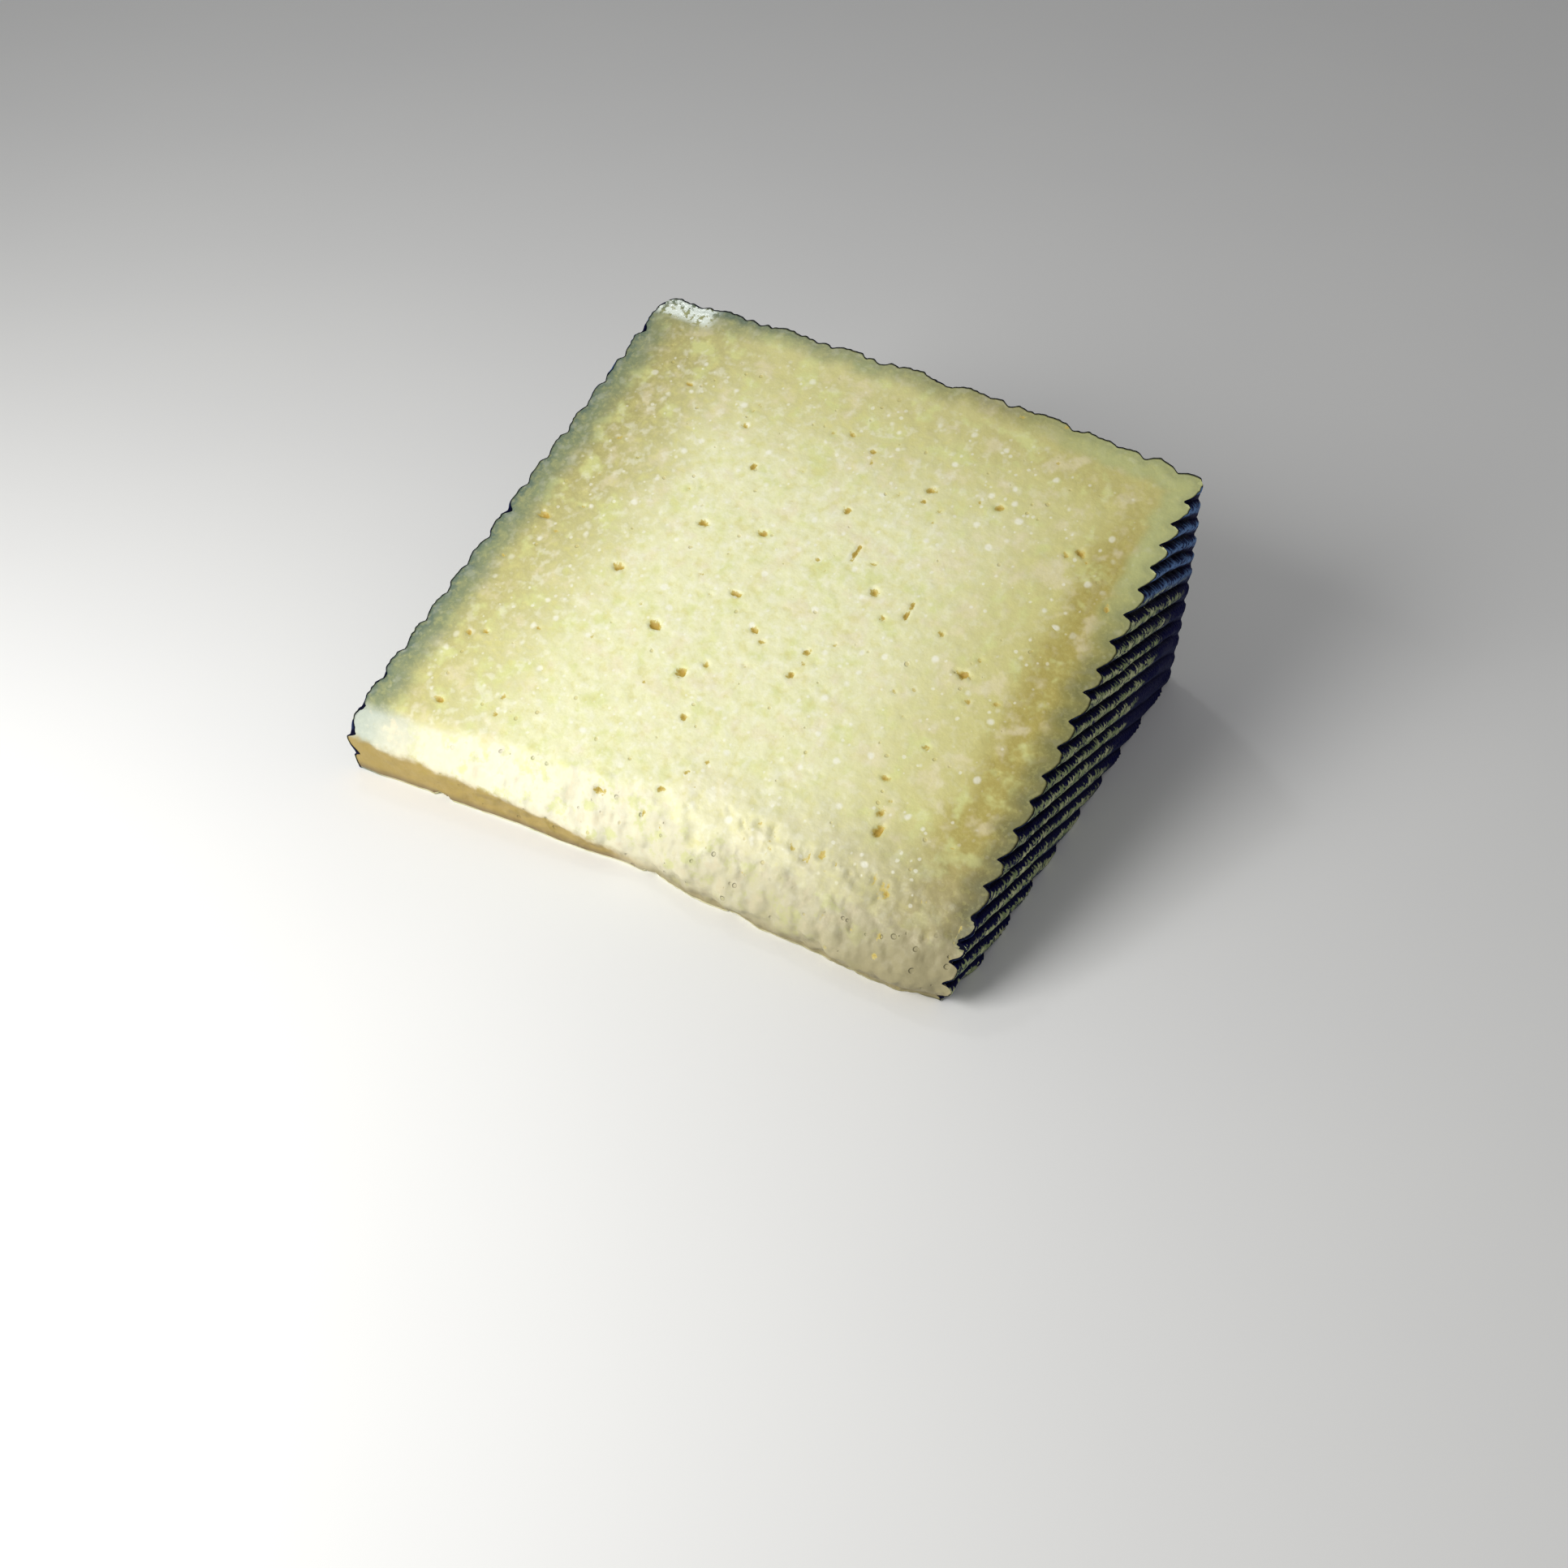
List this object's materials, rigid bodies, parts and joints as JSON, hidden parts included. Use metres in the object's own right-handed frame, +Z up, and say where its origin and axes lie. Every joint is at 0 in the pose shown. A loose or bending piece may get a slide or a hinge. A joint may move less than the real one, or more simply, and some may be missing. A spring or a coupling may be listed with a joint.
{
  "type": "manchego cheese wedge",
  "caption": "Wedge of pressed sheep's milk cheese lying on a cut face: pale paste with small eyes, sloping top, blunt crumbled tip and a dark rind with plaited relief.",
  "frame": {"origin": "middle of the wedge's box, on the ground that it lies on", "axes": "+X along the axle of the wheel it was cut from, towards the flat rind face that the picture shows; +Y from the blunt tip out to the rim; +Z up"},
  "size_m": [0.0988, 0.0927, 0.0454],
  "materials": {
    "paste": "pale ivory-yellow pressed curd, faintly moist, with small eyes and white specks",
    "rind": "dark blue-black waxed rind, its plaited ridges worn to olive grey"
  },
  "bodies": {
    "root": {"cheese_wedge": "paste"}
  },
  "joints": []
}
